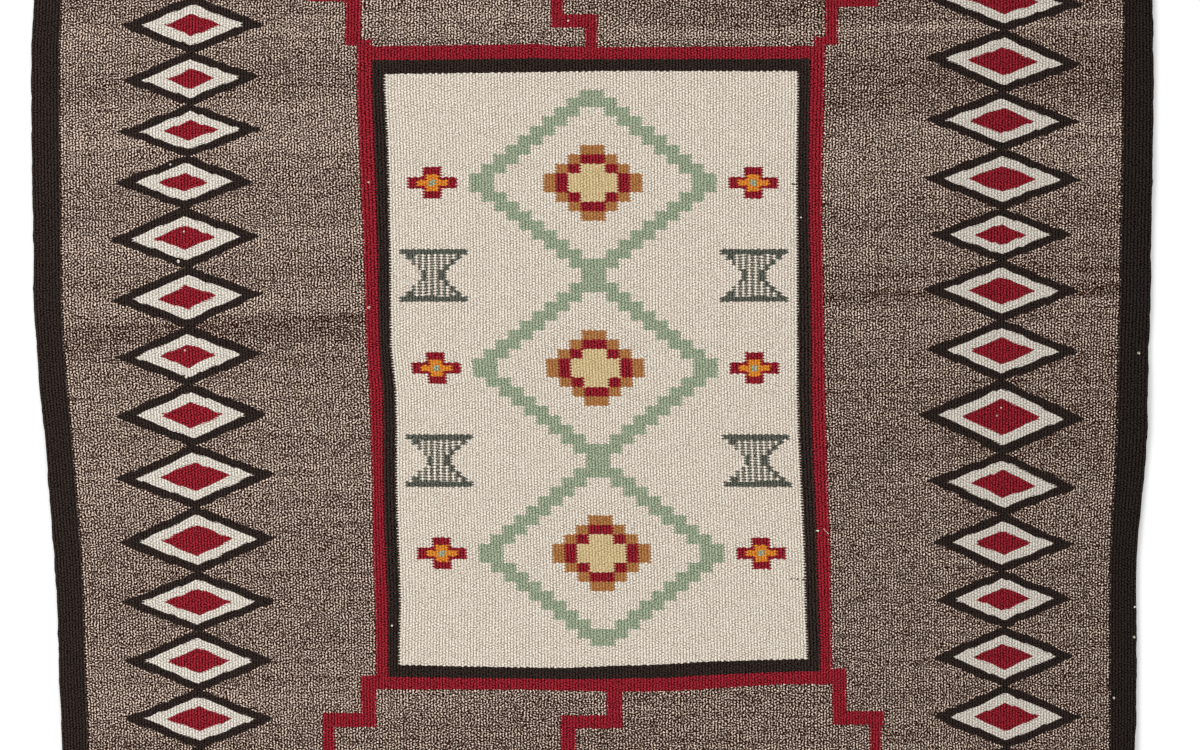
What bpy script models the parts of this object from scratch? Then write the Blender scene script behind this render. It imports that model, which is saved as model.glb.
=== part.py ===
"""A handwoven wool tapestry rug laid flat: one cloth, its long sides wandering a little where the wefts draw in.

Metres, +Z up. The rug lies on the plane z = 0 with the origin in the middle of its underside. +Y runs along
the warps, which is the rug's longest way, and +X runs along the wefts.
"""

import math
from collections import namedtuple

import bpy

LENGTH = 1.500  # along the warps
THICKNESS = 0.0040  # over the ribs of the weave
RIM_ROUND = 0.0012  # the rim is rounded, as a weft that turns back round the last warp is
RIM_STEPS = 1  # extra rings in that rounding
CORNER_RADIUS = 0.007
CORNER_STEPS = 4
SIDE_STEP = 0.0105  # between the outline's points along a side

# The edge of the cloth has small bumps, where a weft was pulled tighter or looser as it turned back.
BUMP = 0.0005
BUMP_LENGTHS = (0.047, 0.029)
BUMP_STARTS = {"left": (0.0, 1.9), "right": (2.6, 0.7)}

# The cloth narrows from its upper end to its lower end. Each row holds a height along the rug and where its
# two sides are there. Rows past y = 0.36 at the top and y = -0.37 at the bottom run on plainly.
SideRow = namedtuple("SideRow", "y left right")
SIDES = (
    SideRow(y=-0.7500, left=-0.5035, right=0.5150),
    SideRow(y=-0.6000, left=-0.5010, right=0.5130),
    SideRow(y=-0.4500, left=-0.5020, right=0.5140),
    SideRow(y=-0.3630, left=-0.5041, right=0.5155),
    SideRow(y=-0.3287, left=-0.5049, right=0.5170),
    SideRow(y=-0.2955, left=-0.5071, right=0.5174),
    SideRow(y=-0.2613, left=-0.5078, right=0.5175),
    SideRow(y=-0.2270, left=-0.5088, right=0.5170),
    SideRow(y=-0.1929, left=-0.5109, right=0.5170),
    SideRow(y=-0.1596, left=-0.5134, right=0.5186),
    SideRow(y=-0.1254, left=-0.5162, right=0.5221),
    SideRow(y=-0.0741, left=-0.5194, right=0.5268),
    SideRow(y=-0.0238, left=-0.5253, right=0.5277),
    SideRow(y=0.0276, left=-0.5287, right=0.5292),
    SideRow(y=0.0608, left=-0.5315, right=0.5306),
    SideRow(y=0.1121, left=-0.5312, right=0.5311),
    SideRow(y=0.1463, left=-0.5320, right=0.5314),
    SideRow(y=0.1976, left=-0.5328, right=0.5327),
    SideRow(y=0.2480, left=-0.5334, right=0.5334),
    SideRow(y=0.3050, left=-0.5332, right=0.5332),
    SideRow(y=0.3496, left=-0.5312, right=0.5325),
    SideRow(y=0.4500, left=-0.5290, right=0.5310),
    SideRow(y=0.6000, left=-0.5285, right=0.5305),
    SideRow(y=0.7500, left=-0.5300, right=0.5315),
)


def slope_at(row, side):
    """The side's slope at a row, as the mean over its two neighbours."""
    before = SIDES[max(row - 1, 0)]
    after = SIDES[min(row + 1, len(SIDES) - 1)]
    return (getattr(after, side) - getattr(before, side)) / (after.y - before.y)


def side_x(y, side):
    """Where a side is at height y, on a smooth curve through the rows."""
    row = max(i for i, entry in enumerate(SIDES[:-1]) if entry.y <= y or i == 0)
    low, high = SIDES[row], SIDES[row + 1]
    gap = high.y - low.y
    t = (y - low.y) / gap
    return (
        (2 * t**3 - 3 * t**2 + 1) * getattr(low, side)
        + (t**3 - 2 * t**2 + t) * gap * slope_at(row, side)
        + (3 * t**2 - 2 * t**3) * getattr(high, side)
        + (t**3 - t**2) * gap * slope_at(row + 1, side)
    )


def bump_at(y, side):
    """How far the small bumps of the edge stand out or in at height y."""
    waves = zip(BUMP_LENGTHS, BUMP_STARTS[side])
    return BUMP * sum(math.sin(math.tau * y / length + start) for length, start in waves) / 2


def side_points(side):
    """Points up one side, from the end of the lower corner to the start of the upper one."""
    reach = LENGTH / 2 - CORNER_RADIUS
    steps = round(2 * reach / SIDE_STEP)
    heights = [-reach + 2 * reach * i / steps for i in range(steps + 1)]
    return [(side_x(y, side) + bump_at(y, side), y) for y in heights]


def corner_points(end, quarter_turns):
    """Points between the ends of a rounded corner, going anticlockwise, where end is the corner's first point."""
    start = math.pi / 2 * quarter_turns
    centre = (end[0] - CORNER_RADIUS * math.cos(start), end[1] - CORNER_RADIUS * math.sin(start))
    angles = [start + math.pi / 2 * i / CORNER_STEPS for i in range(1, CORNER_STEPS + 1)]
    return [(centre[0] + CORNER_RADIUS * math.cos(a), centre[1] + CORNER_RADIUS * math.sin(a)) for a in angles]


def outline():
    """The rug's outline, anticlockwise seen from above, from the foot of its right side."""
    right = side_points("right")
    left = side_points("left")[::-1]
    upper_left = (left[0][0] + CORNER_RADIUS, LENGTH / 2)
    lower_right = (right[0][0] - CORNER_RADIUS, -LENGTH / 2)
    return (
        right
        + corner_points(right[-1], 0)
        + [upper_left]
        + corner_points(upper_left, 1)[:-1]
        + left
        + corner_points(left[-1], 2)
        + [lower_right]
        + corner_points(lower_right, 3)[:-1]
    )


def wool():
    """Undyed heather wool, the colour that most of the cloth shows."""
    material = bpy.data.materials.new("heather_wool")
    material.use_nodes = True
    shader = material.node_tree.nodes["Principled BSDF"]
    shader.inputs["Base Color"].default_value = (0.205, 0.162, 0.130, 1.0)
    shader.inputs["Roughness"].default_value = 0.95
    shader.inputs["Metallic"].default_value = 0.0
    material.diffuse_color = (0.205, 0.162, 0.130, 1.0)
    return material


def cloth(collection):
    """The cloth: a flat outline with thickness and a rounded rim, lying on its underside."""
    curve = bpy.data.curves.new("rug_cloth", "CURVE")
    curve.dimensions = "2D"
    curve.fill_mode = "BOTH"
    curve.extrude = THICKNESS / 2 - RIM_ROUND
    curve.bevel_depth = RIM_ROUND
    curve.bevel_resolution = RIM_STEPS
    curve.offset = -RIM_ROUND  # the rounding then ends at the outline and not outside it
    points = outline()
    spline = curve.splines.new("POLY")
    spline.points.add(len(points) - 1)
    for point, (x, y) in zip(spline.points, points):
        point.co = (x, y, 0.0, 1.0)
    spline.use_cyclic_u = True

    rug = bpy.data.objects.new("rug_cloth", curve)
    rug.location.z = THICKNESS / 2
    collection.objects.link(rug)
    curve.materials.append(wool())
    seams = rug.modifiers.new("join_rim_and_faces", "WELD")
    seams.merge_threshold = 0.00001
    return rug


def main():
    for old in list(bpy.data.objects):
        bpy.data.objects.remove(old)
    collection = bpy.data.collections.new("woven_rug")
    bpy.context.scene.collection.children.link(collection)
    cloth(collection)


main()
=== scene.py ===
# %% [markdown]
# # A handwoven wool tapestry rug
#
# The rug is one cloth. Thick handspun wefts are beaten down so hard over the warps that the warps are
# covered, and each warp shows as a rib about 3 mm wide. Every colour change is made by swapping the weft, so
# the pattern has no printing, sewing or pile. This file dresses a plain flat solid as that cloth: first the
# ribbed sheet, then the pattern, charted bead by bead as a weaver would, and last the grain of the wool.

# %% Load the frame
from collections import namedtuple

import bpy
import numpy as np
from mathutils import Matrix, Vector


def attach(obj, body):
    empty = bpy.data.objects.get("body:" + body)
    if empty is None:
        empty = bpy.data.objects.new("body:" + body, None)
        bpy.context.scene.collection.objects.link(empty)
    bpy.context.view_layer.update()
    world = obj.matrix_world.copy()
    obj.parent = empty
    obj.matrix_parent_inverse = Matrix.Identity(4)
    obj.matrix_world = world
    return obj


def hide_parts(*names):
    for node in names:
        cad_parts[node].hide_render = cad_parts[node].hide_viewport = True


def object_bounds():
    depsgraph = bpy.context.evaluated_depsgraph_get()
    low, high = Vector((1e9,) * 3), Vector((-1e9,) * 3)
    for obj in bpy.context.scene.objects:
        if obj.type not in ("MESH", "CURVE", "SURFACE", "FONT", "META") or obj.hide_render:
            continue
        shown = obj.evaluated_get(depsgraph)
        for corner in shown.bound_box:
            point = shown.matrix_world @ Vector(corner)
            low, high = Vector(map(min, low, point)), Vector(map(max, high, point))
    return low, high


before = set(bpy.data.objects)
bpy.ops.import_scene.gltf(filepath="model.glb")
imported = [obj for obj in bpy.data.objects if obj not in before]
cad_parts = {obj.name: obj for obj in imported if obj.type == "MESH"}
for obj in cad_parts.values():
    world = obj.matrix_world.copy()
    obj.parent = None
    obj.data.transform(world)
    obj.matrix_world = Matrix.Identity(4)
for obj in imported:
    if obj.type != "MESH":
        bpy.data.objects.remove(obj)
cad_low, cad_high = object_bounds()

# %% [markdown]
# ## The cloth's own measures
#
# A weaver counts in ribs and beads. A rib is one warp with its wool, and a bead is one place where a weft
# passes over it. The beads of neighbouring ribs are half a bead out of step, because a weft that goes over
# one warp goes under the next. All of the pattern is placed in those two counts.

# %% Measures of the weave
RIBS = 360
BEAD = 0.00266  # along a rib
LENGTH = cad_high.y - cad_low.y
THICKNESS = cad_high.z - cad_low.z
BEADS = LENGTH / BEAD
RIB = (cad_high.x - cad_low.x) / RIBS
MM = 0.001
print(f"rib {RIB / MM:.2f} mm, bead {BEAD / MM:.2f} mm, {BEADS:.0f} beads along each rib")

# %% [markdown]
# ## Camera, light and floor
#
# The rug is seen from straight above, with its ends outside the view. A longish lens keeps its edges
# straight. The light is that of a studio copy stand: a bright even surround, a soft lamp on the left whose
# low light brings up the ribs, and a weaker one on the right.

# %% Camera
VIEW_WIDTH = 1.14
VIEW_CENTRE = (0.0072, -0.0066)
LENS, SENSOR = 85.0, 36.0

camera_data = bpy.data.cameras.new("copy_stand_camera")
camera_data.lens = LENS
camera_data.sensor_width = SENSOR
camera_data.clip_end = 30.0
camera = bpy.data.objects.new("copy_stand_camera", camera_data)
camera.location = (*VIEW_CENTRE, THICKNESS + VIEW_WIDTH * LENS / SENSOR)
bpy.context.scene.collection.objects.link(camera)
bpy.context.scene.camera = camera
bpy.context.scene.view_settings.view_transform = "Standard"
print(f"camera {camera.location.z:.3f} m above the floor, view {VIEW_WIDTH} m wide")


# %% Colours are given as sRGB hex
def linear(hex_colour):
    """An sRGB hex colour as the linear colour that shaders take."""
    parts = [int(hex_colour[i : i + 2], 16) / 255 for i in (1, 3, 5)]
    return (*[v / 12.92 if v <= 0.04045 else ((v + 0.055) / 1.055) ** 2.4 for v in parts], 1.0)


# %% Soft studio light
def soft_lamp(name, place, size, watts):
    """A large square lamp that points at the rug's middle and isn't seen itself."""
    data = bpy.data.lights.new(name, "AREA")
    data.size = size
    data.energy = watts
    lamp = bpy.data.objects.new(name, data)
    lamp.location = place
    direction = -lamp.location
    lamp.rotation_euler = direction.to_track_quat("-Z", "Y").to_euler()
    lamp.visible_camera = False
    bpy.context.scene.collection.objects.link(lamp)


soft_lamp("left_lamp", place=(-3.9, 0.9, 3.3), size=2.1, watts=150.0)
soft_lamp("right_lamp", place=(3.4, -1.1, 4.2), size=3.2, watts=45.0)

surround = bpy.data.worlds.new("studio_surround")
surround.use_nodes = True
surround.node_tree.nodes["Background"].inputs["Color"].default_value = linear("#fbfbfc")
surround.node_tree.nodes["Background"].inputs["Strength"].default_value = 0.68
bpy.context.scene.world = surround

# %% Pale floor
FLOOR_WIDTH = 14.0
FLOOR_DROP = 0.0002  # the floor lies a hair below the rug's underside

bpy.ops.object.select_all(action="DESELECT")
bpy.ops.mesh.primitive_plane_add(size=FLOOR_WIDTH, location=(0.0, 0.0, -FLOOR_DROP))
floor = bpy.context.object
floor.name = "floor"
floor_finish = bpy.data.materials.new("matt_white_paper")
floor_finish.use_nodes = True
paper = floor_finish.node_tree.nodes["Principled BSDF"]
paper.inputs["Base Color"].default_value = linear("#fefefd")
paper.inputs["Roughness"].default_value = 0.9
floor.data.materials.append(floor_finish)

# %% [markdown]
# ## Where the warps run
#
# The loom held the warps straight, but the wefts pulled them in, so the cloth is narrower at its lower end
# and its ribs wander. The two outer edges are read from the solid. Between them, eight ribs that carry an
# edge of the pattern were measured at some heights, and all other ribs are spaced evenly between these.

# %% Edges of the solid
CORNER = 0.007  # the solid's rounded corner
CORNER_SLACK = 0.0001  # takes in the point where the corner begins
RIM_HALF_WIDTH = 0.0011  # the outline is the part of the rim this close to mid-thickness


def solid_edge(side):
    """Heights along one side of the solid and how far out its edge is there, for side -1 or 1."""
    corners = np.array([v.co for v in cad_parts["rug_cloth"].data.vertices])
    on_rim = abs(corners[:, 2] - THICKNESS / 2) < RIM_HALF_WIDTH
    on_side = (corners[:, 0] * side > 0) & (abs(corners[:, 1]) < LENGTH / 2 - CORNER + CORNER_SLACK)
    rim = corners[on_rim & on_side]
    rim = rim[np.argsort(rim[:, 1])]
    return rim[:, 1], rim[:, 0]


LEFT_EDGE, RIGHT_EDGE = solid_edge(-1), solid_edge(1)
print(f"{len(LEFT_EDGE[0])} and {len(RIGHT_EDGE[0])} points on the two sides")

# %% Measured ribs
# The ribs are those where the left border, the crimson, the black and the cream of the panel begin, and the
# same towards the right. A row gives a height in mm from the rug's middle, then where those ribs are there.
LINE_RIBS = (9, 106, 110, 114, 246, 250, 254, 351)
WarpRow = namedtuple("WarpRow", "up border red black cream cream_end black_end red_end border_end")
WARPS = (
    WarpRow(750, -503, -223, -209, -196, 194, 208, 222, 505),
    WarpRow(350, -503.8, -222.7, -208.9, -196.1, 194.4, 207.7, 221.4, 504.3),
    WarpRow(302, -505.8, -223.8, -209.9, -197.2, 194.4, 207.3, 221.2, 503.9),
    WarpRow(274, -505.8, -224.6, -210.0, -197.8, 195.2, 207.1, 221.0, 503.7),
    WarpRow(248, -505.8, -223.2, -208.5, -196.0, 195.2, 206.2, 219.9, 503.4),
    WarpRow(198, -505.2, -221.3, -206.9, -193.3, 193.9, 205.6, 218.7, 502.8),
    WarpRow(160, -504.6, -219.5, -205.6, -193.4, 194.0, 205.3, 217.8, 502.2),
    WarpRow(117, -504.1, -217.7, -204.0, -191.8, 194.8, 207.1, 218.8, 501.2),
    WarpRow(78, -504.1, -216.3, -203.8, -191.6, 194.2, 207.4, 219.6, 500.9),
    WarpRow(41, -503.1, -215.5, -202.7, -191.8, 195.1, 208.7, 220.5, 500.0),
    WarpRow(21, -501.8, -215.1, -202.5, -191.3, 194.8, 208.4, 220.5, 499.3),
    WarpRow(-1, -499.8, -212.8, -200.1, -187.5, 194.4, 208.0, 220.5, 498.6),
    WarpRow(-40, -496.6, -211.1, -198.7, -186.1, 194.8, 208.9, 221.6, 497.9),
    WarpRow(-78, -492.4, -210.0, -198.6, -185.6, 196.3, 209.3, 222.8, 497.4),
    WarpRow(-115, -489.9, -208.9, -199.0, -186.3, 198.3, 211.3, 223.6, 494.8),
    WarpRow(-156, -486.6, -208.4, -197.4, -184.5, 200.4, 213.0, 225.5, 492.3),
    WarpRow(-186, -484.5, -208.1, -196.2, -183.4, 201.6, 213.8, 226.1, 491.4),
    WarpRow(-217, -483.2, -206.9, -194.7, -182.1, 201.9, 214.9, 226.6, 491.1),
    WarpRow(-275, -481.7, -205.5, -194.2, -183.7, 204.2, 217.1, 227.4, 491.1),
    WarpRow(-306, -480.4, -205.8, -194.2, -183.3, 204.3, 216.7, 227.6, 491.1),
    WarpRow(-363, -478.1, -205.1, -193.7, -182.3, 204.3, 216.7, 228.6, 491.1),
    WarpRow(-750, -477, -204, -192.5, -181, 204, 217, 229, 490),
)
WARP_HEIGHTS = np.array([row.up for row in WARPS[::-1]]) * MM
WARP_PLACES = np.array([row[1:] for row in WARPS[::-1]]) * MM


def lines_at(height):
    """Where the measured ribs and the two edges are at one height, from left to right."""
    inner = [np.interp(height, WARP_HEIGHTS, places) for places in WARP_PLACES.T]
    return [np.interp(height, *LEFT_EDGE), *inner, np.interp(height, *RIGHT_EDGE)]


def rib_at(x_mm, up_mm):
    """The rib, counted from the left edge, that lies at a place given in mm."""
    return float(np.interp(x_mm * MM, lines_at(up_mm * MM), (0, *LINE_RIBS, RIBS)))


print("ribs at the panel's middle line:", round(rib_at(0, 300), 1), round(rib_at(0, -300), 1))

# %% [markdown]
# ## The ribbed sheet
#
# A sheet this thin could be a plane with a bump, but the ribs of a real rug also show along its ends and at
# a low angle, so they are modelled. A grid gets three columns to a rib, one in the groove and two on the
# shoulders. Both faces of a tapestry look alike, so the lower face is the upper one mirrored, and the two
# are joined where they meet in the middle of the rim.

# %% Places of the grid's columns and rows
RIB_STEPS = (0.0, 0.3, 0.7)  # a groove and two shoulders, in parts of a rib
GROOVE = 0.00060  # depth between two ribs
END_STEPS = (0.0, 0.0004, 0.0012, 0.0026)  # rows that round the two ends
SIDE_STEP = 0.5  # each side is rounded over this much of its last rib
MIDDLE_ROWS = 36

columns = np.array([rib + step for rib in range(RIBS) for step in RIB_STEPS] + [RIBS])
near_end = np.array(END_STEPS) - LENGTH / 2
between_ends = np.linspace(near_end[-1], -near_end[-1], MIDDLE_ROWS + 2)[1:-1]
rows = np.concatenate([near_end, between_ends, -near_end[::-1]])
print(f"{len(columns)} columns and {len(rows)} rows")

# %% Upper face
bpy.ops.mesh.primitive_grid_add(
    x_subdivisions=len(columns) - 1, y_subdivisions=len(rows) - 1, size=1.0, calc_uvs=True
)
rug = bpy.context.object
rug.name = "tapestry_cloth"
mesh = rug.data
mesh.name = "tapestry_cloth"


def vertex_places():
    """All vertex places of the sheet, one row each."""
    places = np.empty(len(mesh.vertices) * 3)
    mesh.vertices.foreach_get("co", places)
    return places.reshape(-1, 3)


places = vertex_places()
column_of = np.rint((places[:, 0] + 0.5) * (len(columns) - 1)).astype(int)
row_of = np.rint((places[:, 1] + 0.5) * (len(rows) - 1)).astype(int)
rib_of, height_of = columns[column_of], rows[row_of]

# %% Each vertex goes to its rib and height
rib_places = np.array([np.interp(columns, (0, *LINE_RIBS, RIBS), lines_at(row)) for row in rows])
places[:, 0] = rib_places[row_of, column_of]
places[:, 1] = height_of

in_groove = np.isclose(rib_of, np.rint(rib_of))
half = np.where(in_groove, THICKNESS / 2 - GROOVE, THICKNESS / 2)
from_side = np.minimum(rib_of, RIBS - rib_of)
from_end = LENGTH / 2 - abs(height_of)
half *= np.sin(np.pi / 2 * np.clip(from_side / SIDE_STEP, 0, 1))
half *= np.sqrt(1 - (1 - np.clip(from_end / END_STEPS[-1], 0, 1)) ** 2)
places[:, 2] = half
mesh.vertices.foreach_set("co", places.ravel())

# %% The sheet's own map counts ribs one way and beads the other
weave_map = mesh.uv_layers[0]
weave_map.name = "weave"
loop_vertex = np.empty(len(mesh.loops), int)
mesh.loops.foreach_get("vertex_index", loop_vertex)
counts = np.stack([rib_of, (height_of + LENGTH / 2) / BEAD], axis=1)[loop_vertex]
weave_map.data.foreach_set("uv", counts.ravel())
mesh.update()

# %% Lower face and rim
SAME_PLACE = 0.000001  # points this close are joined

bpy.ops.object.mode_set(mode="EDIT")
bpy.ops.mesh.select_all(action="SELECT")
bpy.ops.mesh.duplicate()
bpy.ops.transform.mirror(constraint_axis=(False, False, True), center_override=(0.0, 0.0, 0.0))
bpy.ops.mesh.flip_normals()
bpy.ops.mesh.select_all(action="SELECT")
bpy.ops.mesh.remove_doubles(threshold=SAME_PLACE)
bpy.ops.mesh.select_all(action="DESELECT")
bpy.ops.object.mode_set(mode="OBJECT")
print(f"sheet with two faces: {len(mesh.polygons)} faces")

# %% [markdown]
# ## The uneven edge
#
# Each weft turns round the last warp, and no two turns are pulled alike, so the edge is a row of small
# bumps. The rim gets more points between the grid's rows, and each of them is pushed in or out by a fraction
# of a millimetre.

# %% Bumps along both sides
RIM_CUTS = 7
TURN_UNEVENNESS = 0.00035
MID_HEIGHT_BAND = 0.00001  # a point this close to mid-thickness is on the rim
LONG_EDGE = 0.01  # the rim's edges that are cut are longer than this
SIDE_FROM = 0.4  # points further out than this belong to a side
END_KEPT = 0.003  # the rim stays even this close to an end

for edge in mesh.edges:
    low, high = (mesh.vertices[i].co for i in edge.vertices)
    on_rim = max(abs(low.z), abs(high.z)) < MID_HEIGHT_BAND
    edge.select = on_rim and abs(low.y - high.y) > LONG_EDGE
bpy.ops.object.mode_set(mode="EDIT")
bpy.ops.mesh.select_mode(type="EDGE")
bpy.ops.mesh.subdivide(number_cuts=RIM_CUTS)
bpy.ops.mesh.select_mode(type="VERT")
bpy.ops.object.mode_set(mode="OBJECT")

places = vertex_places()
turns = np.random.default_rng(7)
for side, edge_line in ((-1, LEFT_EDGE), (1, RIGHT_EDGE)):
    on_side = (abs(places[:, 2]) < MID_HEIGHT_BAND) & (places[:, 0] * side > SIDE_FROM)
    rim = on_side & (abs(places[:, 1]) < LENGTH / 2 - END_KEPT)
    pull = turns.uniform(-1.0, 1.0, rim.sum()) * TURN_UNEVENNESS
    places[rim, 0] = np.interp(places[rim, 1], *edge_line) + pull
print(f"{rim.sum()} points on the right side")

# %% [markdown]
# ## How it lies
#
# A hand-woven rug never lies quite flat. Its sides are a little longer than its middle, so they ripple by
# about a millimetre where the floor doesn't hold them.

# %% Ripple of the sides
RIPPLE = 0.0012
RIPPLE_REACH = 0.09  # how far in from the side it is felt
RIPPLE_LENGTHS = (0.31, 0.19)
RIPPLE_SHIFT = 5.0  # how far the waves move along with each metre across, in radians

side_distance = np.minimum(places[:, 0] - np.interp(places[:, 1], *LEFT_EDGE),
                           np.interp(places[:, 1], *RIGHT_EDGE) - places[:, 0])
shift = places[:, 0] * RIPPLE_SHIFT
wave = sum(np.sin(2 * np.pi * places[:, 1] / length + shift) for length in RIPPLE_LENGTHS)
lift = RIPPLE * np.clip(wave, 0, None) / 2 * np.exp(-np.clip(side_distance, 0, None) / RIPPLE_REACH)
places[:, 2] += THICKNESS / 2 + lift
mesh.vertices.foreach_set("co", places.ravel())
mesh.update()
mesh.shade_smooth()
triangles = sum(len(face.vertices) - 2 for face in mesh.polygons)
print(f"sides lift by up to {lift.max() / MM:.1f} mm, {triangles} triangles")

# %% The sheet takes the solid's place
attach(rug, "root")
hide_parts("rug_cloth")

# %% [markdown]
# ## Wool
#
# Handspun wool is matt and a little hairy. Its colour is never even: light and dark fibres were carded
# together, and the undyed grey is a true mix of dark brown and white fleece. So each yarn is given a dark
# and a pale tone, and a grain decides, bead by bead and fibre by fibre, how much of each one shows.

# %% A new wool material
wool = bpy.data.materials.new("handspun_wool_tapestry_weave")
wool.use_nodes = True
rug.data.materials.append(wool)
skin = wool.node_tree.nodes["Principled BSDF"]
skin.inputs["Metallic"].default_value = 0.0
skin.inputs["IOR"].default_value = 1.5
skin.inputs["Specular IOR Level"].default_value = 0.03
skin.inputs["Sheen Weight"].default_value = 0.01
skin.inputs["Sheen Roughness"].default_value = 0.6
MATH, VECTOR_MATH, MIX = "ShaderNodeMath", "ShaderNodeVectorMath", "ShaderNodeMix"


def put(kind, *feeds, out=0, named=None, **settings):
    """Add one node, set it, feed its inputs in turn or by name, and return one of its outputs."""
    node = wool.node_tree.nodes.new(kind)
    for name, value in settings.items():
        setattr(node, name, value)
    pairs = list(zip(node.inputs, feeds))
    pairs += [(node.inputs[name], feed) for name, feed in (named or {}).items()]
    for socket, feed in pairs:
        if isinstance(feed, bpy.types.NodeSocket):
            wool.node_tree.links.new(feed, socket)
        elif feed is not None:
            socket.default_value = feed
    return node.outputs[out]


def away_from(value, middle):
    """How far a value lies from a middle one, to either side."""
    return put(MATH, put(MATH, value, middle, operation="SUBTRACT"), operation="ABSOLUTE")


# %% [markdown]
# ### Finding the bead
#
# The sheet's map gives a rib number and a bead number anywhere on the cloth. Beads are oval, and those of
# one rib fill the waists between those of the next, so the line between two ribs sways by nearly half a rib
# to each side, and by more or less at each turn. Once a point knows which bead it is on, the pattern is
# asked at the middle of its rib, and halfway from its own height to the bead's middle. A slanted edge then
# comes out in the small steps of real tapestry, and an upright edge gets its fine teeth.

# %% The swaying line between two ribs
SWAY = 0.45  # in ribs
TURN_SPREAD = 0.9  # how unevenly the wefts are pulled round the warps
WANDER_BEADS = 1.6  # how far the wefts stray up and down, in all
WANDER_SCALE = 0.11  # they change their way about once in nine ribs or beads
weave = put("ShaderNodeUVMap", uv_map="weave")
rib_count = put("ShaderNodeSeparateXYZ", weave, out=0)
level_count = put("ShaderNodeSeparateXYZ", weave, out=1)
wander_noise = {"Scale": WANDER_SCALE, "Detail": 1.0}
wander = put("ShaderNodeTexNoise", weave, noise_dimensions="2D", named=wander_noise)
stray = put(MATH, wander, WANDER_BEADS, -WANDER_BEADS / 2, operation="MULTIPLY_ADD")
bead_count = put(MATH, level_count, stray, operation="ADD")
saw = put(MATH, put(MATH, bead_count, operation="FRACT"), 2.0, -1.0, operation="MULTIPLY_ADD")
sway = put(MATH, put(MATH, saw, operation="ABSOLUTE"), -2 * SWAY, SWAY, operation="MULTIPLY_ADD")
nearest_line = put(MATH, rib_count, operation="ROUND")
turn_place = put("ShaderNodeCombineXYZ", nearest_line, put(MATH, bead_count, operation="FLOOR"))
turn_chance = put("ShaderNodeTexWhiteNoise", turn_place, noise_dimensions="2D")
turn_length = put(MATH, turn_chance, TURN_SPREAD, 1 - TURN_SPREAD / 2, operation="MULTIPLY_ADD")
sway = put(MATH, sway, turn_length, operation="MULTIPLY")
odd_line = put(MATH, nearest_line, 2.0, operation="FLOORED_MODULO")
way = put(MATH, odd_line, -2.0, 1.0, operation="MULTIPLY_ADD")
rib = put(MATH, put(MATH, sway, way, rib_count, operation="MULTIPLY_ADD"), operation="FLOOR")

# %% Rib, bead and the place on the bead
over_rib = put(MATH, rib_count, rib, operation="SUBTRACT")
step = put(MATH, put(MATH, rib, 2.0, operation="FLOORED_MODULO"), 0.5, operation="MULTIPLY")
stepped_count = put(MATH, bead_count, step, operation="ADD")
bead = put(MATH, stepped_count, operation="FLOOR")
over_bead = put(MATH, stepped_count, operation="FRACT")
across = put(MATH, rib, 0.5, operation="ADD")
SLANT = 0.5  # an edge cuts half as steeply through a bead as it would with no beads at all
off_middle = put(MATH, over_bead, 0.5, operation="SUBTRACT")
asked_level = put(MATH, off_middle, SLANT - 1, level_count, operation="MULTIPLY_ADD")
up = put(MATH, asked_level, BEAD / MM, -LENGTH / 2 / MM, operation="MULTIPLY_ADD")
print("pattern is asked in ribs across and mm up")

# %% [markdown]
# ### Lines that wander
#
# A weaver judges by eye, so no line of the pattern is quite straight or evenly spaced. Such a line runs
# straight from each of a few measured points to the next, and one function turns a list of points into a
# curve that the shader can read.

# %% A line through measured points
LEAST_SPREAD = 0.001  # so that a level line has a spread too


def drawn_line(where, points):
    """The value at `where` on straight runs through the points, each of them (place, value)."""
    points = sorted(points)
    start, end = points[0][0], points[-1][0]
    values = [value for _, value in points]
    low, spread = min(values), max(max(values) - min(values), LEAST_SPREAD)
    share = put("ShaderNodeMapRange", where, start, end, 0.0, 1.0)
    height = put("ShaderNodeFloatCurve", 1.0, share)
    curve = height.node.mapping.curves[0]
    spots = [((place - start) / (end - start), (value - low) / spread) for place, value in points]
    curve.points[0].location, curve.points[1].location = spots[0], spots[-1]
    for spot in spots[1:-1]:
        curve.points.new(*spot)
    for point in curve.points:
        point.handle_type = "VECTOR"
    height.node.mapping.update()
    return put(MATH, height, spread, low, operation="MULTIPLY_ADD")


# %% [markdown]
# ### Bobbins
#
# Each colour of yarn is a numbered bobbin. The chart starts as plain ground, and every part of the pattern
# then lays its own bobbin number over what was there, where its mask is one.

# %% The chart
Yarn = namedtuple("Yarn", "name dark pale")
YARNS = (
    Yarn("heather", "#2b0b01", "#ffe7d3"),
    Yarn("black", "#020000", "#40342f"),
    Yarn("cream", "#ab9782", "#fff8ea"),
    Yarn("crimson", "#300000", "#b42d3b"),
    Yarn("sage", "#66745c", "#b9c3a6"),
    Yarn("straw", "#b59660", "#e9d6a8"),
    Yarn("tan", "#84512a", "#c58a55"),
    Yarn("charcoal", "#20211d", "#77786c"),
    Yarn("orange", "#b9621a", "#f09d3b"),
    Yarn("deep black", "#010000", "#39302c"),
    Yarn("white", "#a89b8b", "#fdf7ec"),
)
BOBBIN = {yarn.name: float(number) for number, yarn in enumerate(YARNS)}


def lay(chart, mask, yarn):
    """The chart with one yarn laid where the mask is one."""
    return put(MIX, mask, None, chart, BOBBIN[yarn], data_type="FLOAT")


chart = put("ShaderNodeValue")
chart.default_value = BOBBIN["heather"]

# %% [markdown]
# ### Stepped crimson lines
#
# Crimson lines leave the panel's corners and the middle of its two ends, and go in right-angled steps to the
# ends of the rug. Each run is a bar of four ribs or about 12 mm. Past the last step that shows, they run on
# straight, along the ribs.

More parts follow.
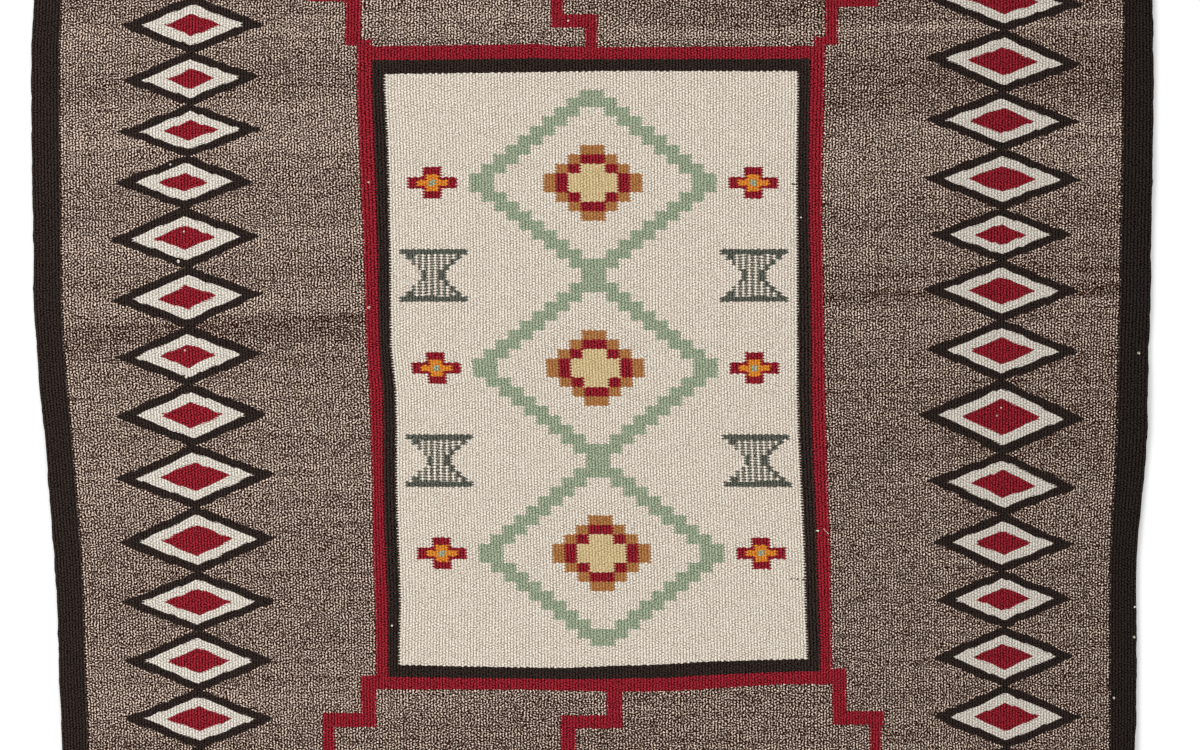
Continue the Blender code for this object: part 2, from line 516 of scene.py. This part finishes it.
# %% Runs of the stepped lines, in mm from the rug's middle
Run = namedtuple("Run", "left right low high")
END_BORDER = 722.0  # the height where the rug's end borders begin
RUNS = (
    Run(-222.8, -209.8, 304.0, 312.3),
    Run(-233.5, -221.3, 306.5, 355.0),
    Run(-269.8, -221.3, 348.5, 360.3),
    Run(-269.8, -257.8, 348.5, END_BORDER),
    Run(-5.8, 5.3, 304.0, 336.0),
    Run(-38.8, 5.3, 323.5, 336.0),
    Run(-38.8, -27.1, 323.5, END_BORDER),
    Run(209.3, 221.9, 304.0, 314.7),
    Run(222.3, 234.0, 306.9, 355.3),
    Run(222.3, 269.8, 343.3, 355.3),
    Run(258.0, 269.8, 343.3, END_BORDER),
    Run(-219.2, -206.3, -341.1, -292.1),
    Run(-255.9, -206.3, -341.1, -327.6),
    Run(-255.9, -243.9, -END_BORDER, -327.6),
    Run(14.7, 26.8, -342.3, -304.0),
    Run(-29.0, 26.8, -342.3, -329.9),
    Run(-28.7, -16.5, -END_BORDER, -329.9),
    Run(228.4, 240.3, -338.9, -285.4),
    Run(228.4, 275.7, -338.9, -326.0),
    Run(263.5, 275.7, -END_BORDER, -326.0),
)

# %% Lay the runs
VIEW_REACH = 400.0  # mm; a run that leaves the view keeps to the ribs that it has at this height

place = put("ShaderNodeCombineXYZ", across, up)
nearest = None
for run in RUNS:
    middle_height = min(max((run.low + run.high) / 2, -VIEW_REACH), VIEW_REACH)
    left, right = rib_at(run.left, middle_height), rib_at(run.right, middle_height)
    centre = ((left + right) / 2, (run.low + run.high) / 2, 0.0)
    reach = ((right - left) / 2, (run.high - run.low) / 2, 1.0)
    offset = put(VECTOR_MATH, place, centre, operation="SUBTRACT")
    outside = put(VECTOR_MATH, put(VECTOR_MATH, offset, operation="ABSOLUTE"), reach, operation="SUBTRACT")
    apart = put("ShaderNodeSeparateXYZ", outside)
    further = put(MATH, apart, apart.node.outputs[1], operation="MAXIMUM")
    nearest = further if nearest is None else put(MATH, nearest, further, operation="MINIMUM")
chart = lay(chart, put(MATH, nearest, 0.0, operation="LESS_THAN"), "crimson")
print(f"{len(RUNS)} runs of crimson line")

# %% [markdown]
# ### Chains of diamonds
#
# A chain of diamonds stands on the ground at each side of the panel. Each diamond is a black outline seven
# ribs wide, then a white ring, then a crimson heart. They differ in size and lean, as the weaver made them.
# A phase that grows by one from waist to waist gives the place within a diamond, and so how far the diamond
# reaches to each side there. What is left of that reach beyond a bead is its depth inside the outline.

# %% Measured diamonds, from the top
Diamond = namedtuple("Diamond", "top middle half lean")  # mm, and the lean as a slope
LEFT_CHAIN = (
    Diamond(352.4, -380.1, 67.2, 0.012),
    Diamond(299.5, -381.8, 64.3, 0.029),
    Diamond(250.3, -381.9, 67.0, 0.019),
    Diamond(201.1, -388.3, 64.9, 0.007),
    Diamond(152.0, -387.0, 70.4, 0.030),
    Diamond(95.5, -384.9, 70.0, 0.048),
    Diamond(39.1, -384.0, 69.1, 0.033),
    Diamond(-15.5, -381.0, 71.2, 0.012),
    Diamond(-73.6, -377.7, 74.6, 0.034),
    Diamond(-132.5, -375.4, 74.1, 0.029),
    Diamond(-194.7, -374.7, 72.5, 0.007),
    Diamond(-250.1, -374.3, 69.5, 0.0),
    Diamond(-306.1, -373.4, 70.4, -0.006),
)
RIGHT_CHAIN = (
    Diamond(377.1, 390.6, 74.6, -0.050),
    Diamond(320.7, 390.6, 73.8, -0.043),
    Diamond(262.2, 388.9, 72.1, -0.017),
    Diamond(208.0, 389.8, 73.8, -0.008),
    Diamond(151.1, 387.6, 66.5, 0.006),
    Diamond(102.2, 388.9, 73.0, -0.012),
    Diamond(45.1, 389.4, 70.8, -0.015),
    Diamond(-11.4, 388.5, 77.6, -0.029),
    Diamond(-81.3, 390.2, 70.0, -0.046),
    Diamond(-139.8, 390.2, 65.7, -0.020),
    Diamond(-193.2, 390.6, 63.6, 0.010),
    Diamond(-245.9, 390.6, 66.2, 0.011),
    Diamond(-302.2, 393.6, 69.2, 0.0),
)
CHAIN_FOOT = -360.5  # the lowest waist that shows
PITCH = 53.0  # about how long a diamond is past the view


def whole_chain(shown):
    """The measured diamonds, with plain ones that run on to both ends of the rug."""
    above = round((END_BORDER - shown[0].top) / PITCH)
    below = round((END_BORDER + CHAIN_FOOT) / PITCH)
    rise, fall = (END_BORDER - shown[0].top) / above, (END_BORDER + CHAIN_FOOT) / below
    upper = [shown[0]._replace(top=END_BORDER - rise * i, lean=0.0) for i in range(above)]
    lower = [shown[-1]._replace(top=CHAIN_FOOT - fall * i, lean=0.0) for i in range(below)]
    return upper + list(shown) + lower


# %% How far a bead lies inside its diamond
WAIST = 0.983  # neighbouring outlines cross just before the waist, which leaves it a few ribs wide
BLUNT = 0.03  # the two side tips end in one whole bead


def depth_in_chain(shown):
    """Ribs from the nearest diamond's outline inwards, and below zero outside it."""
    chain = whole_chain(shown)
    tops = [diamond.top for diamond in chain] + [-END_BORDER]
    middles = [(high + low) / 2 for high, low in zip(tops, tops[1:])]
    centres = [rib_at(diamond.middle, height) for diamond, height in zip(chain, middles)]
    sideways = put(MATH, across, drawn_line(up, zip(middles, centres)), operation="SUBTRACT")
    lean = drawn_line(up, [(height, -diamond.lean * RIB / MM) for height, diamond in zip(middles, chain)])
    level = put(MATH, sideways, lean, up, operation="MULTIPLY_ADD")
    phase = put(MATH, drawn_line(level, [(top, float(i)) for i, top in enumerate(tops)]), operation="FRACT")
    narrowing = put(MATH, away_from(phase, 0.5), -2 * WAIST, 1.0 + BLUNT, operation="MULTIPLY_ADD")
    narrowing = put(MATH, narrowing, 1.0, operation="MINIMUM")
    starts = [rib_at(diamond.middle - diamond.half, height) for diamond, height in zip(chain, middles)]
    ends = [rib_at(diamond.middle + diamond.half, height) for diamond, height in zip(chain, middles)]
    halves = [(end - start) / 2 for start, end in zip(starts, ends)]
    half_widths = drawn_line(up, zip(middles, halves))
    reach = put(MATH, half_widths, narrowing, operation="MULTIPLY")
    return put(MATH, reach, put(MATH, sideways, operation="ABSOLUTE"), operation="SUBTRACT")


# %% Lay both chains
OUTLINE_RIBS = 6.9
RING_RIBS = 7.7

depth = put(MATH, depth_in_chain(LEFT_CHAIN), depth_in_chain(RIGHT_CHAIN), operation="MAXIMUM")
for inset, yarn in ((0.0, "black"), (OUTLINE_RIBS, "white"), (OUTLINE_RIBS + RING_RIBS, "crimson")):
    chart = lay(chart, put(MATH, depth, inset, operation="GREATER_THAN"), yarn)
print(f"{len(LEFT_CHAIN)} and {len(RIGHT_CHAIN)} diamonds were measured")

# %% [markdown]
# ### Borders
#
# The black side borders are nine ribs wide. The same black closes the two ends. The right border was woven
# with a blacker fleece.

# %% Lay the borders
from_centre = away_from(across, RIBS / 2)
from_mid_length = put(MATH, up, operation="ABSOLUTE")
at_side = put(MATH, from_centre, RIBS / 2 - LINE_RIBS[0], operation="GREATER_THAN")
at_right = put(MATH, across, LINE_RIBS[-1], operation="GREATER_THAN")
at_end = put(MATH, from_mid_length, END_BORDER, operation="GREATER_THAN")
chart = lay(chart, put(MATH, at_side, at_end, operation="MAXIMUM"), "black")
chart = lay(chart, at_right, "deep black")

# %% [markdown]
# ### The panel and its frame
#
# A cream panel fills the middle, in a black frame and a crimson one of four ribs each. Its sides follow the
# warps. Its top and bottom lines rise and dip a little, so they run through points across the ribs.

# %% Lines of the frame, each point a place across and a height, in mm
RED_TOP = (
    (-223.6, 305.5), (-68.8, 307.4), (-54.5, 308.4), (-35.5, 305.9), (-7.0, 304.9), (178.2, 305.5),
    (221.0, 306.5),
)
CREAM_TOP = ((-197.0, 279.3), (-68.8, 280.8), (16.7, 282.1), (194.4, 282.1))
CREAM_FOOT = (
    (-182.8, -282.0), (-144.8, -282.9), (-30.8, -285.0), (16.7, -282.9), (54.7, -282.0), (83.2, -280.5),
    (102.2, -279.0), (203.9, -276.2),
)
RED_FOOT = (
    (-205.6, -305.2), (-49.8, -305.7), (26.2, -307.6), (73.7, -307.1), (102.2, -305.2), (178.2, -300.4),
    (227.6, -300.4),
)
FRAME_RIBS = 4


def frame_line(points):
    """The height of one of the frame's lines at a rib."""
    return drawn_line(across, [(rib_at(x, height), height) for x, height in points])


# %% How far a bead lies outside the cream
def beyond(inner, outer):
    """Ribs past the line `inner` at the top or bottom, where `outer` is the frame's far edge."""
    thickness = put(MATH, outer, inner, operation="SUBTRACT")
    past = put(MATH, put(MATH, up, inner, operation="SUBTRACT"), thickness, operation="DIVIDE")
    return put(MATH, past, 2.0 * FRAME_RIBS, operation="MULTIPLY")


cream_start, cream_end = LINE_RIBS[3], LINE_RIBS[4]
cream_half = (cream_end - cream_start) / 2
sideways = away_from(across, (cream_start + cream_end) / 2)
past_side = put(MATH, sideways, cream_half, operation="SUBTRACT")
past_top = beyond(frame_line(CREAM_TOP), frame_line(RED_TOP))
past_foot = beyond(frame_line(CREAM_FOOT), frame_line(RED_FOOT))
past_end = put(MATH, past_top, past_foot, operation="MAXIMUM")
outside_cream = put(MATH, past_side, past_end, operation="MAXIMUM")
for reach, yarn in ((2 * FRAME_RIBS, "crimson"), (FRAME_RIBS, "black"), (0, "cream")):
    chart = lay(chart, put(MATH, outside_cream, float(reach), operation="LESS_THAN"), yarn)

# %% [markdown]
# ### Figures on the panel
#
# The panel carries a plain geometric design in the old tapestry manner: three large terraced diamonds stand
# in a column, with small hourglasses and crosses on both sides. Their edges go in steps. One folded
# coordinate across and one repeat along draw all of them at once.

# %% Terraced diamonds
REPEAT = 176.0  # mm from one large diamond to the next
COLUMN_REACH = 264.0  # the column stops here, above and below
TERRACE_RIBS, TERRACE_RISE = 4.0, 9.0  # one step, in ribs and in mm
BIG_HALF_RIBS, BIG_HALF_HEIGHT = 38.0, 84.0
RINGS = ((0.0, "sage"), (8.0, "cream"), (22.0, "tan"), (26.0, "crimson"), (33.0, "straw"))  # ribs inwards

turn = put(MATH, up, 1 / REPEAT, 0.5, operation="MULTIPLY_ADD")
rise = put(MATH, away_from(put(MATH, turn, operation="FRACT"), 0.5), REPEAT, operation="MULTIPLY")
in_column = put(MATH, from_mid_length, COLUMN_REACH, operation="LESS_THAN")
terrace = put(MATH, sideways, TERRACE_RIBS, operation="SNAP")
storey = put(MATH, rise, TERRACE_RISE, operation="SNAP")
slack = put(MATH, storey, -BIG_HALF_RIBS / BIG_HALF_HEIGHT, BIG_HALF_RIBS, operation="MULTIPLY_ADD")
inset = put(MATH, put(MATH, slack, terrace, operation="SUBTRACT"), in_column, operation="MULTIPLY")
for depth_ribs, yarn in RINGS:
    chart = lay(chart, put(MATH, inset, depth_ribs, operation="GREATER_THAN"), yarn)

# %% Crosses beside the large diamonds
SIDE_RIBS = 52.0  # from the panel's middle line to the small figures
Arm = namedtuple("Arm", "ribs rise yarn")  # half a bar's width in ribs and half its height in mm
ARMS = (
    Arm(8.2, 5.4, "crimson"),
    Arm(3.2, 15.0, "crimson"),
    Arm(4.7, 2.7, "orange"),
    Arm(1.7, 8.0, "orange"),
    Arm(1.2, 2.7, "sage"),
)

from_axis = away_from(sideways, SIDE_RIBS)
for arm in ARMS:
    within_width = put(MATH, from_axis, arm.ribs, operation="LESS_THAN")
    within_height = put(MATH, rise, arm.rise, operation="LESS_THAN")
    bar = put(MATH, within_width, within_height, operation="MULTIPLY")
    chart = lay(chart, put(MATH, bar, in_column, operation="MULTIPLY"), arm.yarn)

# %% Hourglasses between them
# Inside a solid edge they are woven in two yarns by turns, which gives upright stripes one rib wide.
GLASS_REACH = 170.0  # none stands beyond the outer diamonds
GLASS_HALF_HEIGHT, GLASS_STEP = 25.0, 5.0
GLASS_WAIST, GLASS_SPREAD = 3.6, 0.36  # half its waist in ribs, and how many more it gets with each mm
EDGE_RIBS, EDGE_HEIGHT = 1.6, 5.2  # the solid edge, at the sides and at the ends

between = put(MATH, REPEAT / 2, rise, operation="SUBTRACT")
level = put(MATH, between, GLASS_STEP, operation="SNAP")
half_width = put(MATH, level, GLASS_SPREAD, GLASS_WAIST, operation="MULTIPLY_ADD")
within = put(MATH, half_width, from_axis, operation="SUBTRACT")
below_end = put(MATH, GLASS_HALF_HEIGHT, between, operation="SUBTRACT")
in_reach = put(MATH, GLASS_REACH, from_mid_length, operation="SUBTRACT")
at_side_edge = put(MATH, within, EDGE_RIBS, operation="LESS_THAN")
at_end_edge = put(MATH, below_end, EDGE_HEIGHT, operation="LESS_THAN")
glass = put(MATH, rib, 2.0, operation="FLOORED_MODULO")
for edge in (at_side_edge, at_end_edge):
    glass = put(MATH, glass, edge, operation="MAXIMUM")
for inside in (within, below_end, in_reach):
    glass = put(MATH, glass, put(MATH, inside, 0.0, operation="GREATER_THAN"), operation="MULTIPLY")
chart = lay(chart, glass, "charcoal")

# %% [markdown]
# ### Lint and slips
#
# A used rug carries some pale lint and a stray hair. Here and there a bead of the wrong yarn was woven in.

# %% Specks, in mm from the rug's middle
Speck = namedtuple("Speck", "x up size")  # the size is a radius
PALE_SPECKS = (
    Speck(-212.5, 57.5, 1.3),
    Speck(-212.8, 176.7, 0.9),
    Speck(-190.5, -244.7, 1.0),
    Speck(-393.5, 101.4, 1.5),
    Speck(-386.0, -8.4, 1.4),
    Speck(-388.0, 129.6, 0.9),
    Speck(-387.0, 16.8, 0.9),
    Speck(-401.0, 193.5, 0.9),
    Speck(519.0, 14.2, 1.2),
    Speck(515.5, -227.0, 1.0),
    Speck(514.8, -255.5, 1.2),
    Speck(495.5, -313.5, 1.1),
    Speck(213.2, -154.6, 0.8),
    Speck(214.6, -154.6, 0.8),
    Speck(220.2, -153.2, 0.5),
    Speck(221.3, -154.3, 0.5),
    Speck(222.4, -155.4, 0.5),
    Speck(223.5, -156.5, 0.5),
    Speck(224.6, -157.6, 0.5),
    Speck(198.0, 143.1, 0.7),
    Speck(388.3, -37.8, 0.8),
    Speck(384.1, -45.2, 0.8),
    Speck(-23.0, 330.0, 0.9),
)
DARK_SPECKS = (
    Speck(190.0, 174.8, 1.0),
    Speck(192.0, 174.6, 0.9),
    Speck(194.0, 174.6, 0.9),
    Speck(188.7, -200.4, 0.8),
    Speck(194.8, -200.4, 0.9),
    Speck(200.2, -201.0, 1.0),
)
flat_place = put(VECTOR_MATH, weave, (RIB / MM, BEAD / MM, 0.0), operation="MULTIPLY")


def on_a_speck(specks):
    """One where a point lies on any of the specks."""
    nearest = None
    for speck in specks:
        spot = (rib_at(speck.x, speck.up) * RIB / MM, speck.up + LENGTH / 2 / MM, 0.0)
        gap = put(VECTOR_MATH, flat_place, spot, operation="DISTANCE", out=1)
        margin = put(MATH, gap, speck.size, operation="SUBTRACT")
        nearest = margin if nearest is None else put(MATH, nearest, margin, operation="MINIMUM")
    return put(MATH, nearest, 0.0, operation="LESS_THAN")


chart = lay(chart, on_a_speck(PALE_SPECKS), "cream")
chart = lay(chart, on_a_speck(DARK_SPECKS), "black")
print(f"{len(PALE_SPECKS)} pale specks and {len(DARK_SPECKS)} dark ones")

# %% [markdown]
# ### Relief of the beads
#
# Each bead is a small oval cushion of yarn, highest at its middle. With the right share of width to length,
# two cushions are equally high all along the line where they meet, if the wefts turn evenly there. The sheet
# already has the ribs, so the bump adds the beads on them.

# %% Height of a bead
ACROSS_FALL = 0.2  # a bead is this much lower at half a rib from its middle
ALONG_FALL = ACROSS_FALL * 8 * SWAY  # half a bead from its middle, so that the cushions meet level

over = put(MATH, over_rib, 2.0, -1.0, operation="MULTIPLY_ADD")
along = put(MATH, over_bead, 2.0, -1.0, operation="MULTIPLY_ADD")
fallen = put(MATH, put(MATH, over, over, operation="MULTIPLY"), -ACROSS_FALL, 1.0, operation="MULTIPLY_ADD")
along_squared = put(MATH, along, along, operation="MULTIPLY")
cushion = put(MATH, along_squared, -ALONG_FALL, fallen, operation="MULTIPLY_ADD")

# %% How much of a bead's light is lost towards its edges
GROOVE_LOSS, BEAD_END_LOSS = 0.6, 0.5
CREST_LOW, CREST_MEAN = 1 - GROOVE_LOSS - BEAD_END_LOSS, 0.63

into_groove = put(MATH, away_from(rib_count, nearest_line), -2.0, 1.0, operation="MULTIPLY_ADD")
groove_squared = put(MATH, into_groove, 2.0, operation="POWER")
ridge = put(MATH, groove_squared, -GROOVE_LOSS, 1.0, operation="MULTIPLY_ADD")
crest = put(MATH, along_squared, -BEAD_END_LOSS, ridge, operation="MULTIPLY_ADD")

# %% [markdown]
# ### The grain of the fleece
#
# Three things make the grain: each bead is a different bit of yarn, thick pale and dark fibres show as
# flecks a millimetre or two long, and pale and dark fleece lie in clumps a few millimetres wide. Painted
# shade is
# added as well: the top of a bead is made paler and its gaps darker. Each new lot of carded wool was also a
# little darker or paler than the last, which gives a hand-carded ground its soft bands, and those run with
# the wefts.

# %% Grain of each bead and of its fibres
bead_place = put("ShaderNodeCombineXYZ", rib, bead)
bead_chance = put("ShaderNodeTexWhiteNoise", bead_place, noise_dimensions="2D")
FLECKS_PER_MM = (0.8, 1.0, 0.0)  # across and up
fleck_place = put(VECTOR_MATH, flat_place, FLECKS_PER_MM, operation="MULTIPLY")
fibre = put("ShaderNodeTexNoise", fleck_place, noise_dimensions="2D", named={"Scale": 1.0, "Detail": 0.0})
CLUMPS_PER_MM = (0.36, 0.4, 0.0)
CLUMP_BREAK = (0.08, 0.08, 0.0)  # no clump runs on unbroken from bead to bead
CLUMP_CELL = 0.7  # how far a clump's waves reach
clump_place = put(VECTOR_MATH, flat_place, CLUMPS_PER_MM, operation="MULTIPLY")
bead_shift = bead_chance.node.outputs[1]
clump_place = put(VECTOR_MATH, bead_shift, CLUMP_BREAK, clump_place, operation="MULTIPLY_ADD")
clump_waves = {"Scale": CLUMP_CELL, "Frequency": 1 / CLUMP_CELL, "Anisotropy": 0.0}
clump_phase = put("ShaderNodeTexGabor", clump_place, out=1, gabor_type="2D", named=clump_waves)
clump = put(MATH, put(MATH, clump_phase, 2 * np.pi, operation="MULTIPLY"), operation="SINE")

# %% Bands of darker and paler wool, each point a height in mm and a tone
LEFT_BANDS = (
    (750, 1.0), (420, 1.0), (358, 0.93), (326, 1.12), (307, 1.04), (293, 1.0), (280, 0.91), (264, 0.99),
    (245, 1.1), (226, 1.13), (212, 1.1), (193, 1.0), (174, 0.98), (155, 0.97), (136, 1.02), (126, 1.12),
    (112, 1.03), (98, 0.96), (84, 1.0), (66, 1.08), (50, 1.0), (47.5, 0.8), (40, 0.8), (28, 0.87),
    (20, 0.94), (12, 1.0), (-30, 1.0), (-70, 1.0), (-97, 1.07), (-125, 1.02), (-144, 0.96), (-250, 0.97),
    (-296, 1.03), (-330, 0.99), (-353, 0.92), (-420, 1.0), (-750, 1.0),
)
RIGHT_BANDS = (
    (750, 0.95), (420, 0.95), (338, 0.89), (323.5, 0.92), (321.5, 1.3), (319, 1.3), (317, 0.97), (307, 0.96),
    (293, 0.87), (264, 0.84), (245, 0.88), (231, 1.03), (207, 1.06), (193, 1.06), (174, 1.01), (155, 0.98),
    (141, 0.89), (126, 0.95), (107, 1.0), (91, 0.98), (88.5, 0.74), (86, 0.95), (74, 0.96), (71, 0.7),
    (67, 0.66), (63, 0.85), (61, 0.98), (41, 0.99), (22, 0.96), (-11, 0.92), (-50, 0.92), (-78, 0.89),
    (-106, 0.95), (-350, 0.92), (-420, 0.95), (-750, 0.95),
)

# %% Lay the bands along the wefts
# The wefts fall a little towards the left edge and rise towards the right one, so a band leans with them.
LEFT_FALL, RIGHT_FALL = 0.05, -0.03
STRIP_MIDDLE = 270.0  # mm from the rug's middle, where the bands were measured
CHANGE_START, CHANGE_END = 150.0, 215.0  # between these ribs the left bands pass into the right ones
FADE_START, RIGHT_FADE = 290.0, -0.06  # from this rib the ground darkens towards the right border
outwards = put(MATH, from_centre, RIB / MM, -STRIP_MIDDLE, operation="MULTIPLY_ADD")
fall = put("ShaderNodeMapRange", across, CHANGE_START, CHANGE_END, LEFT_FALL, RIGHT_FALL)
lot = put(MATH, outwards, fall, up, operation="MULTIPLY_ADD")
towards_right = put("ShaderNodeMapRange", across, CHANGE_START, CHANGE_END, 0.0, 1.0)
left_band, right_band = drawn_line(lot, LEFT_BANDS), drawn_line(lot, RIGHT_BANDS)
band = put(MIX, towards_right, None, left_band, right_band, data_type="FLOAT")
right_fade = put("ShaderNodeMapRange", across, FADE_START, LINE_RIBS[-1], 0.0, RIGHT_FADE)
band = put(MATH, band, right_fade, operation="ADD")

# %% Streaks of single wefts within the bands
STREAKS_PER_MM = (0.0025, 0.16, 0.0)  # long across and thin up
streak_place = put(VECTOR_MATH, flat_place, STREAKS_PER_MM, operation="MULTIPLY")
streak_noise = {"Scale": 1.0, "Detail": 3.0, "Roughness": 0.8}
streak = put("ShaderNodeTexNoise", streak_place, noise_dimensions="2D", named=streak_noise)

# %% Tone of the wool at each point
# It goes from 0 for the yarn's dark tone to 1 for its pale one. The heather is a mix of two fleeces, so its
# clumps are stronger than those of a plain yarn, and it is paler or darker by the band. Its two tones are
# mixed evenly for the eye, which takes a power, and those of a plain yarn evenly for the light.
ByWool = namedtuple("ByWool", "plain heather")
MEAN_TONE = ByWool(0.34, 0.115)
FLECK_SHARE = ByWool(1.8, 1.6)
CLUMP_SHARE = ByWool(0.32, 0.6)
CREST_SHADE_SHARE = ByWool(1.7, 1.5)
MIX_POWER = ByWool(1.0, 2.2)
BEAD_SHARE, STREAK_SHARE, BAND_SHARE = 0.05, 0.5, 0.9

is_heather = put(MATH, chart, 0.5, operation="LESS_THAN")


def by_wool(pair):
    """The first value of a pair on plain yarns and its second one on the heather."""
    return put(MATH, is_heather, pair.heather - pair.plain, pair.plain, operation="MULTIPLY_ADD")


from_streak = put(MATH, streak, 0.5, operation="SUBTRACT")
from_band = put(MATH, band, 1.0, operation="SUBTRACT")
uneven = put(MATH, from_streak, STREAK_SHARE, operation="MULTIPLY")
uneven = put(MATH, from_band, BAND_SHARE, uneven, operation="MULTIPLY_ADD")
grain = put(MATH, uneven, is_heather, by_wool(MEAN_TONE), operation="MULTIPLY_ADD")
from_bead = put(MATH, bead_chance, 0.5, operation="SUBTRACT")
flecks = put(MATH, fibre, 0.5, operation="SUBTRACT")
for part, share in ((flecks, by_wool(FLECK_SHARE)), (clump, by_wool(CLUMP_SHARE)), (from_bead, BEAD_SHARE)):
    grain = put(MATH, part, share, grain, operation="MULTIPLY_ADD")
# Painted shade and light: the crest of a bead is made paler in the tone, and its grooves and ends darker.
painted_crest_shade = put(MATH, crest, CREST_MEAN, operation="SUBTRACT")
grain = put(MATH, painted_crest_shade, by_wool(CREST_SHADE_SHARE), grain, operation="MULTIPLY_ADD", use_clamp=True)
grain = put(MATH, grain, by_wool(MIX_POWER), operation="POWER")

# %% Bump of beads and fibres
BUMP_MM = 0.6
FIBRE_HEIGHT = 0.3  # as a share of a bead's height

fuzzy = put(MATH, fibre, FIBRE_HEIGHT, cushion, operation="MULTIPLY_ADD")
relief = put("ShaderNodeBump", named={"Strength": 1.0, "Distance": BUMP_MM * MM, "Height": fuzzy})
wool.node_tree.links.new(relief, skin.inputs["Normal"])

# %% Colour of the yarns
def tones(which):
    """The dark or the pale tone of the charted yarn, from one ramp with a stop for each bobbin."""
    share = put(MATH, chart, 1 / len(YARNS), 0.5 / len(YARNS), operation="MULTIPLY_ADD")
    colour = put("ShaderNodeValToRGB", share)
    ramp = colour.node.color_ramp
    ramp.interpolation = "CONSTANT"
    while len(ramp.elements) < len(YARNS):
        ramp.elements.new(1.0)
    for number, yarn in enumerate(YARNS):
        ramp.elements[number].position = number / len(YARNS)
        ramp.elements[number].color = linear(getattr(yarn, which))
    return colour


# A mix node takes its colours at its seventh and eighth inputs.
dark, pale = tones("dark"), tones("pale")
yarn_colour = put(MIX, grain, None, None, None, None, None, dark, pale, out=2, data_type="RGBA")

# %% Light that reaches each point of a bead
LIGHT_IN_GAP = ByWool(0.45, 0.1)  # how much of its light a bead's lowest part keeps
CREST_LIT = 0.9  # from here up a bead keeps all of its light
DARKENING_START, DARKENING_END, DARKENING_TONE = 255.0, 300.0, 0.87  # towards the right, plain yarns darken by these ribs

light_kept = put("ShaderNodeMapRange", crest, CREST_LOW, CREST_LIT, by_wool(LIGHT_IN_GAP), 1.0)
darker_to_right = put("ShaderNodeMapRange", across, DARKENING_START, DARKENING_END, 1.0, DARKENING_TONE)
darker_to_right = put(MIX, is_heather, None, darker_to_right, 1.0, data_type="FLOAT")
light = put(MATH, light_kept, darker_to_right, operation="MULTIPLY")
shaded = put(VECTOR_MATH, yarn_colour, light, operation="MULTIPLY")
wool.node_tree.links.new(shaded, skin.inputs["Base Color"])

# %% Roughness
DARK_ROUGHNESS, PALE_ROUGHNESS = 0.95, 0.87
roughness_change = PALE_ROUGHNESS - DARK_ROUGHNESS
roughness = put(MATH, grain, roughness_change, DARK_ROUGHNESS, operation="MULTIPLY_ADD")
wool.node_tree.links.new(roughness, skin.inputs["Roughness"])
print(f"{len(wool.node_tree.nodes)} nodes in the wool")
